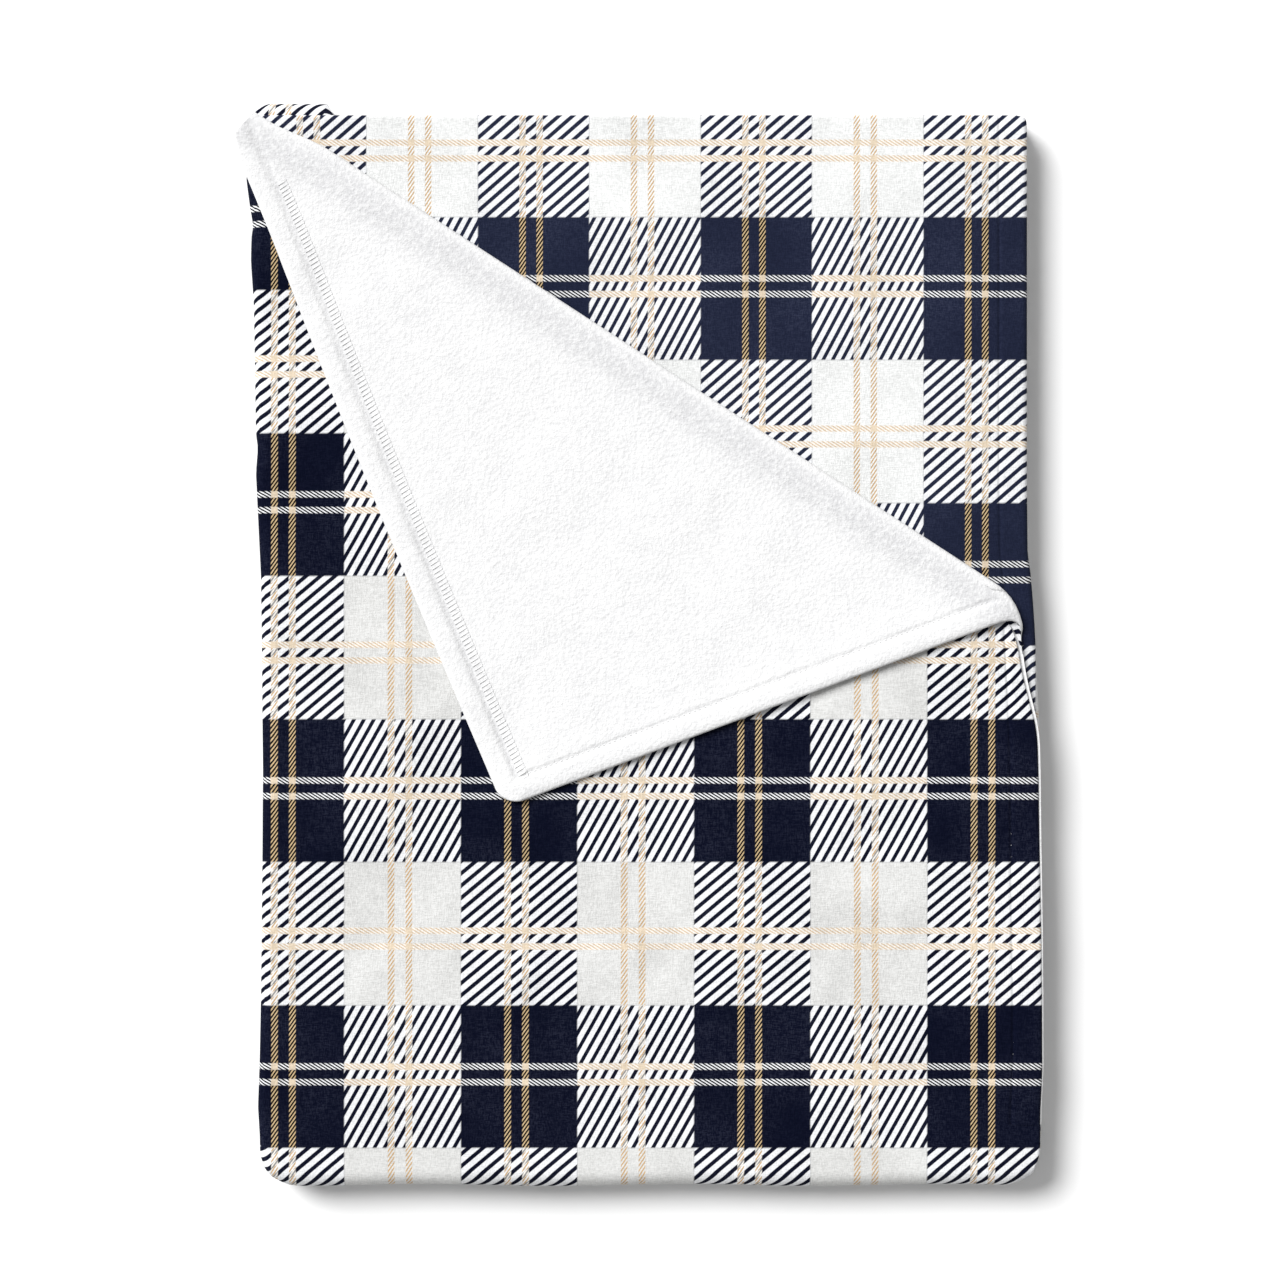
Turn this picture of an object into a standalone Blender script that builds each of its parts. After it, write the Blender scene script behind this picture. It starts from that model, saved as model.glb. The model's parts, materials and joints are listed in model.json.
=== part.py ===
# Folded camp blanket, in metres, +Z up.
#
# The cloth has two plies: a printed plush face and a plain plush back, sewn together round
# the edge. It is folded in three across its width, like a letter, and the long strip is then
# folded in three along its length, like a Z. So there are nine layers, in three thirds:
# the lower third on the ground, the middle third turned over on it, and the upper third on
# top, with one corner of its top panel turned back.
#
# Each third has three panels, from its outer face inwards: base, tuck and top. The base and
# the top panel join round the left edge, and the tuck panel goes back from the right edge.
# X runs across the stack, Y along it, and the origin is under its middle.

import math

import bmesh
import bpy
from mathutils import Matrix, Vector

# Driving dimensions
STACK_WIDTH = 0.500          # folded stack, across
STACK_LENGTH = 0.686         # folded stack, along
PLY = 0.0014                 # one ply of cloth
GAP = 0.0003                 # air between surfaces that touch
FRONT_CORNER = 0.026         # plan radius of the two corners at the front bend
REAR_CORNER = 0.008          # plan radius of the two corners at the rear
TOP_EDGE_INSET = 0.0005      # the top panel's free hem, in from the right edge
TUCK_EDGE_INSET = 0.004      # the tuck panel's hidden hem, in from the left bend
FREE_END_INSET = 0.002       # free ends of the strip, in from the folds above or below them
HEM = 0.017                  # topstitch, in from the hem's edge
OVERLOCK_SETBACK = 0.020     # overlocked seam allowance, in from the hem's edge
THREAD_RADIUS = 0.0003       # sewing thread
THREAD_DEPTH = THREAD_RADIUS + GAP / 2   # its middle, below the surface that it is sewn in

# The turned-back corner of the top panel
CREASE_START = 0.008         # along the rear edge, from the left edge to the crease
CREASE_DROP = 0.3196         # down the right edge, from the rear edge to the crease
CORNER_SHIFT = (-0.027, 0.043)   # where the corner lay, from the stack's rear right corner
FLAP_LEFT_DROP = 0.045       # length of the flap that lies along the stack's left edge
FLAP_END_SETBACK = 0.013     # along the crease, from the right edge to the flap's end
FLAP_TIP_RADIUS = 0.010      # plan radius of the flap's tip
FLAP_CORNER_RADIUS = 0.004   # plan radius of its other corners

ARC_STEPS = 6                # segments in a rounded plan corner
BEND_STEPS = 12              # segments in a half-round bend

# Heights, worked out from the plies
LAYER = 2 * PLY + 2 * GAP
THIRD = 3 * LAYER
BEND_RADIUS = THIRD - GAP                    # quarter-round bends at the front and rear
LEFT_RADIUS = THIRD / 2 - GAP / 2            # half-round bend from base to top panel
RIGHT_RADIUS = LAYER - GAP / 2               # half-round bend from base to tuck panel
LOWER_PLANE = THIRD - GAP / 2                # between the lower and the middle third
UPPER_PLANE = 2 * THIRD - GAP / 2            # between the middle and the upper third
FLAP_PLANE = 3 * THIRD - GAP / 2             # between the top panel and the flap

LEFT = -STACK_WIDTH / 2
RIGHT = STACK_WIDTH / 2
FRONT = -STACK_LENGTH / 2
REAR = STACK_LENGTH / 2

PRINTED_PLUSH = ("printed_plush", (0.16, 0.17, 0.20, 1.0), 0.92)
WHITE_PLUSH = ("white_plush", (0.86, 0.86, 0.87, 1.0), 0.94)
SEWING_THREAD = ("sewing_thread", (0.80, 0.80, 0.80, 1.0), 0.70)

# Each third: its pivot, which way up it lies, the height of its outer (base) surface, and
# whether its front and rear edges are bends. A third that lies the right way up has
# direction 1, so its base panel is its lowest; the middle third is turned over.
THIRDS = {
    "lower": {"pivot": "lower_fold", "direction": 1, "base": -GAP / 2,
              "front_bend": False, "rear_bend": True},
    "middle": {"pivot": "middle_third", "direction": -1, "base": UPPER_PLANE,
               "front_bend": True, "rear_bend": True},
    "upper": {"pivot": "upper_fold", "direction": 1, "base": UPPER_PLANE,
              "front_bend": True, "rear_bend": False},
}

# Layers of a third: how far each ply's middle is from the third's base surface
PLY_CENTRE = {
    ("base", "face"): GAP / 2 + PLY / 2,
    ("base", "back"): GAP / 2 + PLY + GAP + PLY / 2,
    ("tuck", "back"): LAYER + GAP / 2 + PLY / 2,
    ("tuck", "face"): LAYER + GAP / 2 + PLY + GAP + PLY / 2,
    ("top", "back"): 2 * LAYER + GAP / 2 + PLY / 2,
    ("top", "face"): 2 * LAYER + GAP / 2 + PLY + GAP + PLY / 2,
}


def clear_scene():
    for obj in list(bpy.data.objects):
        bpy.data.objects.remove(obj, do_unlink=True)


def make_collection(name):
    collection = bpy.data.collections.new(name)
    bpy.context.scene.collection.children.link(collection)
    return collection


def get_material(finish):
    name, colour, roughness = finish
    material = bpy.data.materials.get(name)
    if material is None:
        material = bpy.data.materials.new(name)
        material.use_nodes = True
        shader = material.node_tree.nodes["Principled BSDF"]
        shader.inputs["Base Color"].default_value = colour
        shader.inputs["Roughness"].default_value = roughness
        shader.inputs["Metallic"].default_value = 0.0
        material.diffuse_color = colour
    return material


# Outlines: lists of 2D points

def rounded_outline(corners, radii):
    """A polygon, counter-clockwise, with each corner rounded to its own radius."""
    points = []
    count = len(corners)
    for index, corner in enumerate(corners):
        here = Vector(corner)
        to_last = (Vector(corners[index - 1]) - here).normalized()
        to_next = (Vector(corners[(index + 1) % count]) - here).normalized()
        half_angle = to_last.angle(to_next) / 2
        radius = radii[index]
        if radius == 0:
            points.append(here)
            continue
        tangent = radius / math.tan(half_angle)
        centre = here + (to_last + to_next).normalized() * radius / math.sin(half_angle)
        first = here + to_last * tangent - centre
        last = here + to_next * tangent - centre
        sweep = first.angle_signed(last)
        for step in range(ARC_STEPS + 1):
            turn = Matrix.Rotation(-sweep * step / ARC_STEPS, 2)
            points.append(centre + turn @ first)
    return points


def ring_sector(centre, inner, outer, start, end, steps):
    """A ring sector, or a pie slice where inner is 0. Angles in degrees."""
    angles = [math.radians(start + (end - start) * i / steps) for i in range(steps + 1)]
    rim = [Vector((math.cos(a), math.sin(a))) for a in angles]
    middle = Vector(centre)
    points = [middle + outer * direction for direction in rim]
    if inner > 0:
        points += [middle + inner * direction for direction in reversed(rim)]
    else:
        points.append(middle)
    return points


def cross_point(start_a, end_a, start_b, end_b):
    """Where two lines meet in plan."""
    along_a = end_a - start_a
    along_b = end_b - start_b
    share = (start_b - start_a).cross(along_b) / along_a.cross(along_b)
    return start_a + share * along_a


def line_at_x(start, end, x):
    share = (x - start.x) / (end.x - start.x)
    return start.lerp(end, share)


def shifted(start, end, distance):
    """A line moved to its own left."""
    along = (end - start).normalized()
    side = Vector((-along.y, along.x)) * distance
    return start + side, end + side


# Solids

def extruded(name, outline, thickness, axis="Z"):
    """A flat outline with thickness, centred on the outline's plane.

    axis Z: the outline is in X and Y. axis Y: in X and Z. axis X: in Y and Z.
    """
    curve = bpy.data.curves.new(name, "CURVE")
    curve.dimensions = "2D"
    curve.fill_mode = "BOTH"
    curve.extrude = thickness / 2
    spline = curve.splines.new("POLY")
    spline.points.add(len(outline) - 1)
    for point, place in zip(spline.points, outline):
        point.co = (place[0], place[1], 0.0, 1.0)
    spline.use_cyclic_u = True
    obj = bpy.data.objects.new(name, curve)
    quarter = math.pi / 2
    turns = {"X": (quarter, 0, quarter), "Y": (quarter, 0, 0), "Z": (0, 0, 0)}
    obj.rotation_euler = turns[axis]
    return obj


def thread_tube(name, route, radius):
    """A round tube along straight runs."""
    curve = bpy.data.curves.new(name, "CURVE")
    curve.dimensions = "3D"
    curve.bevel_depth = radius
    curve.bevel_resolution = 1
    curve.use_fill_caps = True
    spline = curve.splines.new("POLY")
    spline.points.add(len(route) - 1)
    for point, place in zip(spline.points, route):
        point.co = (place[0], place[1], place[2], 1.0)
    return bpy.data.objects.new(name, curve)


def curve_to_mesh(obj, collection):
    """The same piece as a closed mesh, which a Boolean can cut or cut with."""
    collection.objects.link(obj)
    bpy.context.view_layer.update()
    evaluated = obj.evaluated_get(bpy.context.evaluated_depsgraph_get())
    mesh = bpy.data.meshes.new_from_object(evaluated)
    welded = bmesh.new()
    welded.from_mesh(mesh)
    bmesh.ops.remove_doubles(welded, verts=welded.verts, dist=0.00001)
    bmesh.ops.recalc_face_normals(welded, faces=welded.faces)
    welded.to_mesh(mesh)
    welded.free()
    solid = bpy.data.objects.new(obj.name, mesh)
    solid.matrix_world = obj.matrix_world.copy()
    name = obj.name
    bpy.data.objects.remove(obj, do_unlink=True)
    solid.name = name
    return solid


class Blanket:
    """The collections and the pivots that the pieces hang from."""

    def __init__(self, crease):
        self.parts = make_collection("camp_blanket")
        self.cutters = make_collection("cutters")
        self.places = {}
        self.pivots = {}
        half_gap = GAP / 2
        crease_middle = crease[0].lerp(crease[1], 0.5)
        self.add_pivot("middle_third", None, (0, 0, 0))
        self.add_pivot("lower_fold", "middle_third", (0, REAR + half_gap, LOWER_PLANE))
        self.add_pivot("upper_fold", "middle_third", (0, FRONT - half_gap, UPPER_PLANE))
        self.add_pivot("corner_crease", "upper_fold", (*crease_middle, FLAP_PLANE))

    def add_pivot(self, name, parent, place):
        pivot = bpy.data.objects.new(name, None)
        pivot.empty_display_size = 0.03
        self.parts.objects.link(pivot)
        self.pivots[name] = pivot
        self.places[name] = Vector(place)
        pivot.location = self.places[name]
        if parent:
            pivot.parent = self.pivots[parent]
            pivot.location -= self.places[parent]

    def add(self, obj, pivot, place, finish):
        """Hang a piece from a pivot, at a place in the world."""
        self.parts.objects.link(obj)
        obj.parent = self.pivots[pivot]
        obj.location = Vector(place) - self.places[pivot]
        obj.data.materials.append(get_material(finish))
        return obj

    def cut_groove(self, obj, route):
        """Sink a groove along a thread's route in the mesh piece that it is sewn through."""
        tube = thread_tube(obj.name + "_groove", route, THREAD_RADIUS + GAP)
        cutter = curve_to_mesh(tube, self.cutters)
        self.cutters.objects.link(cutter)
        cutter.hide_render = True
        cutter.display_type = "WIRE"
        groove = obj.modifiers.new("groove", "BOOLEAN")
        groove.operation = "DIFFERENCE"
        groove.solver = "EXACT"
        groove.object = cutter


def ply_finish(ply):
    return PRINTED_PLUSH if ply == "face" else WHITE_PLUSH


def crease_line():
    """The crease in plan, from the rear edge to the right edge."""
    return (Vector((LEFT + CREASE_START, REAR)),
            Vector((RIGHT - TOP_EDGE_INSET, REAR - CREASE_DROP)))


def mirrored_in(point, line):
    """A plan point turned over a line."""
    along = (line[1] - line[0]).normalized()
    on_line = line[0] + along * (point - line[0]).dot(along)
    return 2 * on_line - point


def panel_span(third):
    """Where a third's panels start and end along Y."""
    front = FRONT + (BEND_RADIUS + GAP if third["front_bend"] else FREE_END_INSET)
    rear = REAR - (BEND_RADIUS + GAP if third["rear_bend"] else 0.0)
    return front, rear


def panel_outline(third, panel):
    """A panel's plan: straight at a bend, with a small corner at a hem."""
    front, rear = panel_span(third)
    left = LEFT + LEFT_RADIUS + (TUCK_EDGE_INSET if panel == "tuck" else GAP)
    right = RIGHT - (TOP_EDGE_INSET if panel == "top" else RIGHT_RADIUS + GAP)
    corners = [(left, front), (right, front), (right, rear), (left, rear)]
    return rounded_outline(corners, [FRONT_CORNER, FRONT_CORNER, REAR_CORNER, REAR_CORNER])


def creased_outline(third, crease):
    """The upper third's top panel, without the corner that is turned back."""
    front, rear = panel_span(third)
    left = LEFT + LEFT_RADIUS + GAP
    right = RIGHT - TOP_EDGE_INSET
    line = shifted(crease[1], crease[0], GAP / 2)
    rear_edge = (Vector((LEFT, rear)), Vector((RIGHT, rear)))
    corners = [Vector((left, front)), Vector((right, front)), line_at_x(*line, right),
               cross_point(*line, *rear_edge), Vector((left, rear))]
    return rounded_outline(corners, [FRONT_CORNER, FRONT_CORNER, 0, 0, 0])


def flap_corners(crease):
    """The turned-back corner in plan: crease start, two corners at the left, tip and end."""
    line = shifted(crease[1], crease[0], GAP / 2)
    rear_edge = (Vector((LEFT, REAR)), Vector((RIGHT, REAR)))
    start = cross_point(*line, *rear_edge)
    unfolded_tip = Vector((RIGHT + CORNER_SHIFT[0], REAR + CORNER_SHIFT[1]))
    tip = mirrored_in(unfolded_tip, crease)
    end = line[0] + (line[1] - line[0]).normalized() * FLAP_END_SETBACK
    return [start, Vector((LEFT, REAR)), Vector((LEFT, REAR - FLAP_LEFT_DROP)), tip, end]


def height(third, from_base):
    return third["base"] + third["direction"] * from_base


def at_height(route, z):
    return [Vector((point.x, point.y, z)) for point in route]


# Sub-parts

def make_panels(blanket, label, third, crease):
    for (panel, ply), from_base in PLY_CENTRE.items():
        name = f"{label}_{panel}_{ply}"
        if name.startswith("upper_top"):
            outline = creased_outline(third, crease)
        else:
            outline = panel_outline(third, panel)
        obj = extruded(name, outline, PLY)
        sewn = (panel, ply) == ("top", "face")
        if sewn:
            obj = curve_to_mesh(obj, blanket.parts)
        blanket.add(obj, third["pivot"], (0, 0, height(third, from_base)), ply_finish(ply))
        if sewn:
            make_hem_thread(blanket, obj, label, third, crease)


def make_hem_thread(blanket, panel, label, third, crease):
    """The topstitch down the top panel's free hem, let into its printed ply."""
    front, rear = panel_span(third)
    x = RIGHT - TOP_EDGE_INSET - HEM
    start = Vector((x, front + FRONT_CORNER))
    end = Vector((x, rear - HEM))
    if label == "upper":
        end = line_at_x(*crease, x) - Vector((0, HEM))
    z = height(third, THIRD - GAP / 2 - THREAD_DEPTH)
    add_sewn_thread(blanket, f"{label}_hem_topstitch", panel, third["pivot"], [start, end], z)


def add_sewn_thread(blanket, name, cloth, pivot, route, z):
    spare = (route[1] - route[0]).normalized() * GAP
    groove = [route[0] - spare] + route[1:-1] + [route[-1] + spare]
    blanket.cut_groove(cloth, at_height(groove, z))
    origin = Vector((0, 0, z))
    thread = thread_tube(name, at_height(route, 0), THREAD_RADIUS)
    blanket.add(thread, pivot, origin, SEWING_THREAD)


def make_side_bends(blanket, label, third):
    """The half-round bends that join the base panel to the top and to the tuck panel."""
    front, rear = panel_span(third)
    low = front + FRONT_CORNER
    high = rear - REAR_CORNER
    sides = {
        "left": (LEFT + LEFT_RADIUS, THIRD / 2, LEFT_RADIUS, 90, 270),
        "right": (RIGHT - RIGHT_RADIUS, LAYER, RIGHT_RADIUS, -90, 90),
    }
    for side, (x, from_base, radius, start, end) in sides.items():
        for ply, outer in (("face", radius), ("back", radius - PLY - GAP)):
            outline = ring_sector((x, height(third, from_base)), outer - PLY, outer,
                                  start, end, BEND_STEPS)
            obj = extruded(f"{label}_{side}_bend_{ply}", outline, high - low, axis="Y")
            blanket.add(obj, third["pivot"], (0, (low + high) / 2, 0), ply_finish(ply))


def make_end_bends(blanket, label, third):
    """Quarter-round bends, where all three layers turn into the next third.

    Two of them, one in each third, make the round edge of a fold, and part when it opens.
    """
    facing_up = third["direction"]
    if third["front_bend"]:
        z = height(third, GAP / 2)
        start = 90 if facing_up > 0 else 180
        add_end_bend(blanket, f"{label}_front_bend", third, FRONT + BEND_RADIUS, z, start,
                     FRONT_CORNER)
    if third["rear_bend"]:
        z = height(third, THIRD - GAP / 2)
        start = 270 if facing_up > 0 else 0
        add_end_bend(blanket, f"{label}_rear_bend", third, REAR - BEND_RADIUS, z, start,
                     REAR_CORNER)


def add_end_bend(blanket, name, third, y, z, start, corner):
    outline = ring_sector((y, z), 0, BEND_RADIUS, start, start + 90, BEND_STEPS)
    obj = extruded(name, outline, STACK_WIDTH - 2 * corner, axis="X")
    blanket.add(obj, third["pivot"], (0, 0, 0), PRINTED_PLUSH)


def make_flap(blanket, crease):
    """The turned-back corner: face down, back up, with the stitching of its two hems."""
    corners = flap_corners(crease)
    small = FLAP_CORNER_RADIUS
    outline = rounded_outline(corners, [0, small, small, FLAP_TIP_RADIUS, 0])
    bottom = FLAP_PLANE + GAP / 2
    face_z = bottom + PLY / 2
    back_z = face_z + PLY + GAP
    face = extruded("flap_face", outline, PLY)
    back = curve_to_mesh(extruded("flap_back", outline, PLY), blanket.parts)
    blanket.add(face, "corner_crease", (0, 0, face_z), PRINTED_PLUSH)
    blanket.add(back, "corner_crease", (0, 0, back_z), WHITE_PLUSH)

    _, _, left, tip, end = corners
    left_hem = shifted(left, tip, OVERLOCK_SETBACK)
    lower_hem = shifted(tip, end, HEM)
    meeting = cross_point(*left_hem, *lower_hem)
    apart = (left_hem[0] - meeting).normalized() * (THREAD_RADIUS + GAP) * 4
    z = back_z + PLY / 2 - THREAD_DEPTH
    overlock = [left_hem[0] + (meeting - left_hem[0]).normalized() * HEM, meeting + apart]
    topstitch = [meeting, lower_hem[1] - (lower_hem[1] - meeting).normalized() * 2 * HEM]
    add_sewn_thread(blanket, "flap_overlock", back, "corner_crease", overlock, z)
    add_sewn_thread(blanket, "flap_topstitch", back, "corner_crease", topstitch, z)


def main():
    clear_scene()
    crease = crease_line()
    blanket = Blanket(crease)
    for label, third in THIRDS.items():
        make_panels(blanket, label, third, crease)
        make_side_bends(blanket, label, third)
        make_end_bends(blanket, label, third)
    make_flap(blanket, crease)


main()
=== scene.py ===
import json

import bpy
import numpy as np
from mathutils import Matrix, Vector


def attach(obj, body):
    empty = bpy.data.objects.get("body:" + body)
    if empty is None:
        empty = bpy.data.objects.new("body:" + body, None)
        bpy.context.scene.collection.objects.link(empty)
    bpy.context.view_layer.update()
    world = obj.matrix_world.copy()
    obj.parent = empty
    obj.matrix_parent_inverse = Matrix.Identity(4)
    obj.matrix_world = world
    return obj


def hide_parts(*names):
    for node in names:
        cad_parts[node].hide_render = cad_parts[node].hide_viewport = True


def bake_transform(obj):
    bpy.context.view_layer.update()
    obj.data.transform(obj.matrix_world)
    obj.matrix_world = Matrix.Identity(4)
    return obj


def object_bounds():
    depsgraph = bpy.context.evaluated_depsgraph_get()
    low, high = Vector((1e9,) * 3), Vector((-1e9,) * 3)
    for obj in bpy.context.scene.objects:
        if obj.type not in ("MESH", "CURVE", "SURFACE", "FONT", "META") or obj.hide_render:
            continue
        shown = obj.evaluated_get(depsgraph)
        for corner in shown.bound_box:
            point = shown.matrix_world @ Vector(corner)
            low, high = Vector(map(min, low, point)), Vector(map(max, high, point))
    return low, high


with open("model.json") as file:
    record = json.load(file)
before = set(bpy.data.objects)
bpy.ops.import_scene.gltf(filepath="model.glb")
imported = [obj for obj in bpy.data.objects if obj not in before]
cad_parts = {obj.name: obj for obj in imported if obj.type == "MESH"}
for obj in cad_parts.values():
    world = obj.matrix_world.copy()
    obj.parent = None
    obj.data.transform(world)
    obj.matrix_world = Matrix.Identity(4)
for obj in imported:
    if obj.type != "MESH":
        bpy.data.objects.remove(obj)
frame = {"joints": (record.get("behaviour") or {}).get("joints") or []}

cadLow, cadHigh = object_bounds()
joints = {joint["child"]: joint for joint in frame["joints"]}
lowerPlane = joints["lower_third"]["pos_m"][2]
upperPlane = joints["upper_third"]["pos_m"][2]
flapPlane = joints["corner_flap"]["pos_m"][2]
halfWidth = cadHigh.x
halfLength = cadHigh.y

# one layer is a printed ply and a white ply; levels are heights above a third's base side
cloth = {
    "third": 0.0102,
    "base": 0.0017,
    "tuck": 0.0051,
    "top": 0.0085,
    "inner": 0.00005,
    "outer": 0.0016,
    "edge": 0.0018,
    "leftRadius": 0.0034,
    "rightRadius": 0.0017,
    "leftX": -0.2450,
    "rightX": 0.24675,
    "hemX": 0.2492,
    "tuckX": -0.2430,
    "foldReach": 0.040,
    "hemSetback": 0.0190,
    "tuckSeam": 0.2320,
}

# how the stack strays from a true rectangle: y, shift of the left side, shift of the right side
stray = {
    "y": [-0.343, -0.312, -0.292, -0.266, -0.221, -0.134, -0.077, -0.043, 0.012, 0.030,
          0.047, 0.062, 0.113, 0.129, 0.138, 0.220, 0.248, 0.263, 0.271, 0.284, 0.303, 0.343],
    "left": [0.0006, 0.0006, -0.0006, 0.0004, 0.0013, 0.0022, 0.0026, 0.0022, 0.0018, 0.0015,
             0.0013, 0.0006, -0.0019, -0.0006, -0.0019, -0.0032, -0.0051, -0.0048, -0.0036,
             -0.0057, -0.0080, -0.0052],
    "right": [-0.0005, -0.0002, 0.0002, 0.0013, 0.0013, 0.0002, -0.0006, -0.0013, -0.0038,
              -0.0050, -0.0064, -0.0085, -0.0089, -0.0089, -0.0089, -0.0089, -0.0089, -0.0089,
              -0.0089, -0.0089, -0.0089, -0.0089],
    "front": 0.0264,
    "rear": 0.0085,
}

# the turned-back corner laid flat again: its line of folding, corners and hems
flap = {
    "slope": -0.65,
    "level": 0.18553,
    "corner": (0.2230, 0.3860),
    "rearLeft": (-0.2181, 0.3709),
    "leftTurn": (-0.2440, 0.3652),
    "leftLine": (-0.2530, 0.3480),
    "stripLeft": (-0.2500, 0.3301),
    "stripRight": (0.2461, 0.0077),
    "strip": 0.015,
    "roll": 0.0017,
    "rollOut": 0.0033,
    "tip": 0.014,
    "puff": 0.0012,
    "ladder": 0.0195,
    "stitch": 0.0150,
    "bow": 0.0030,
    "swell": 0.0008,
    "lift": (0.0012, 0.0011),
}

# the print: where a column and a row start and their pitch, for the top layer and the one under it
plaid = {
    "top": (-0.19496, 0.07431, 0.13801, 0.09116),
    "tuck": (-0.18118, 0.07116, 0.27625, 0.09130),
    "turn": 14,
}


up = np.array([0.0, 0.0, 1.0])


# the usual cubic step: 0 below low, 1 above high
def smoothStep(low, high, value):
    t = np.clip((value - low) / (high - low), 0, 1)
    return t * t * (3 - 2 * t)


# a slow uneven swelling between 0 and 1, from sines whose phase drifts with the other direction
def swell(x, y):
    first = np.sin(x * 64 + 1.3 + 2.1 * np.sin(y * 29))
    second = np.sin(y * 53 + 0.6 + 1.9 * np.sin(x * 41 + 1))
    return 0.5 + 0.25 * first + 0.25 * second


# how far the stack's outline is shifted in x at a place, between its left and right side's tables
def strayX(x, y):
    side = np.clip(x / halfWidth, -1, 1)
    left = np.interp(y, stray["y"], stray["left"])
    right = np.interp(y, stray["y"], stray["right"])
    return left * (1 - side) / 2 + right * (1 + side) / 2


# square corners become round: each local coordinate is scaled by sqrt(1 - half the other's square)
def settle(points):
    x, y, z = np.moveaxis(points, -1, 0)
    radius = np.where(y < 0, stray["front"], stray["rear"])
    a = np.clip((np.abs(x) - halfWidth + radius) / radius, 0, None)
    b = np.clip((np.abs(y) - halfLength + radius) / radius, 0, None)
    newA = a * np.sqrt(1 - np.minimum(b, 1) ** 2 / 2)
    newB = b * np.sqrt(1 - np.minimum(a, 1) ** 2 / 2)
    x = x + np.sign(x) * (newA - a) * radius
    y = y + np.sign(y) * (newB - b) * radius
    y = y + 0.0007 * np.sin(x * 38 + 0.8) * smoothStep(0.29, 0.343, -y)
    return np.stack([x + strayX(x, y), y, z], -1)


# evenly spaced values from first to last, about step apart, closer near each end asked for
def spaced(first, last, step, fineStart=False, fineEnd=False):
    sign = np.sign(last - first)
    near = np.array([0, 0.00012, 0.0004, 0.0008, 0.0013, 0.0019, 0.003])
    length = abs(last - first)
    low = near[-1] if fineStart else 0
    high = length - near[-1] if fineEnd else length
    middle = np.linspace(low, high, max(2, int(round((high - low) / step)) + 1))
    parts = ([near[:-1]] if fineStart else []) + [middle]
    parts += [length - near[-2::-1]] if fineEnd else []
    return first + sign * np.concatenate(parts)


# adds closely spaced values round a row of stitches, keeping the order of the rest
def withSeam(values, seam):
    extra = seam + np.arange(-0.0032, 0.0033, 0.00055)
    joined = np.unique(np.concatenate([values[np.abs(values - seam) > 0.0036], extra]))
    return joined if values[-1] > values[0] else joined[::-1]


# a third's cross-section from the free hem inwards: x, level, outward direction, print column and
# distance from the hem
def section(names, step=0.006):
    c = cloth
    quarter = np.pi / 2
    left = np.linspace(quarter, 3 * quarter, 13)[1:-1]
    right = np.linspace(-quarter, quarter, 9)[1:-1]
    topX = withSeam(spaced(c["hemX"], c["leftX"], step, fineStart=True), c["hemX"] - c["hemSetback"])
    baseX = spaced(c["leftX"], c["rightX"], step)
    tuckX = withSeam(spaced(c["rightX"], c["tuckX"], step, fineEnd=True), c["tuckSeam"])
    far = 1.0
    rows = {
        "top": (topX, c["top"] + 0 * topX, 0 * topX, 1 + 0 * topX, c["hemX"] - topX),
        "leftBend": (
            c["leftX"] + c["leftRadius"] * np.cos(left),
            c["tuck"] + c["leftRadius"] * np.sin(left),
            np.cos(left),
            np.sin(left),
            far + 0 * left,
        ),
        "base": (baseX, c["base"] + 0 * baseX, 0 * baseX, -1 + 0 * baseX, far + 0 * baseX),
        "rightBend": (
            c["rightX"] + c["rightRadius"] * np.cos(right),
            c["base"] + c["rightRadius"] * (1 + np.sin(right)),
            np.cos(right),
            np.sin(right),
            far + 0 * right,
        ),
        "tuck": (tuckX, c["tuck"] + 0 * tuckX, 0 * tuckX, 1 + 0 * tuckX, tuckX - c["tuckX"]),
    }
    if "leftBend" in names and "base" not in names:
        rows["leftBend"] = tuple(
            np.append(a, b[0]) for a, b in zip(rows["leftBend"], rows["base"])
        )
    x, level, outX, outLevel, hem = (
        np.concatenate([rows[name][i] for name in names]) for i in range(5)
    )
    kind = np.concatenate([np.full(len(rows[name][0]), name, object) for name in names])
    start, pitch = plaid["top"][:2]
    tuckStart, tuckPitch = plaid["tuck"][:2]
    first = (c["leftX"] - start) / pitch
    last = (c["rightX"] - tuckStart) / tuckPitch - plaid["turn"]
    bend = np.pi * c["leftRadius"]
    flat = c["rightX"] - c["leftX"]
    total = bend + flat + np.pi * c["rightRadius"]
    along = np.select(
        [kind == "leftBend", kind == "base", kind == "rightBend"],
        [
            bend / 2 - c["leftRadius"] * np.arcsin(np.clip(outLevel, -1, 1)),
            bend + x - c["leftX"],
            bend + flat + c["rightRadius"] * (np.pi / 2 + np.arcsin(np.clip(outLevel, -1, 1))),
        ],
        0,
    )
    column = first + (last - first) * along / total
    column = np.where(kind == "top", (x - start) / pitch, column)
    column = np.where(kind == "tuck", (x - tuckStart) / tuckPitch - plaid["turn"], column)
    return {"x": x, "level": level, "out": (outX, outLevel), "column": column, "hem": hem, "kind": kind}


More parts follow.
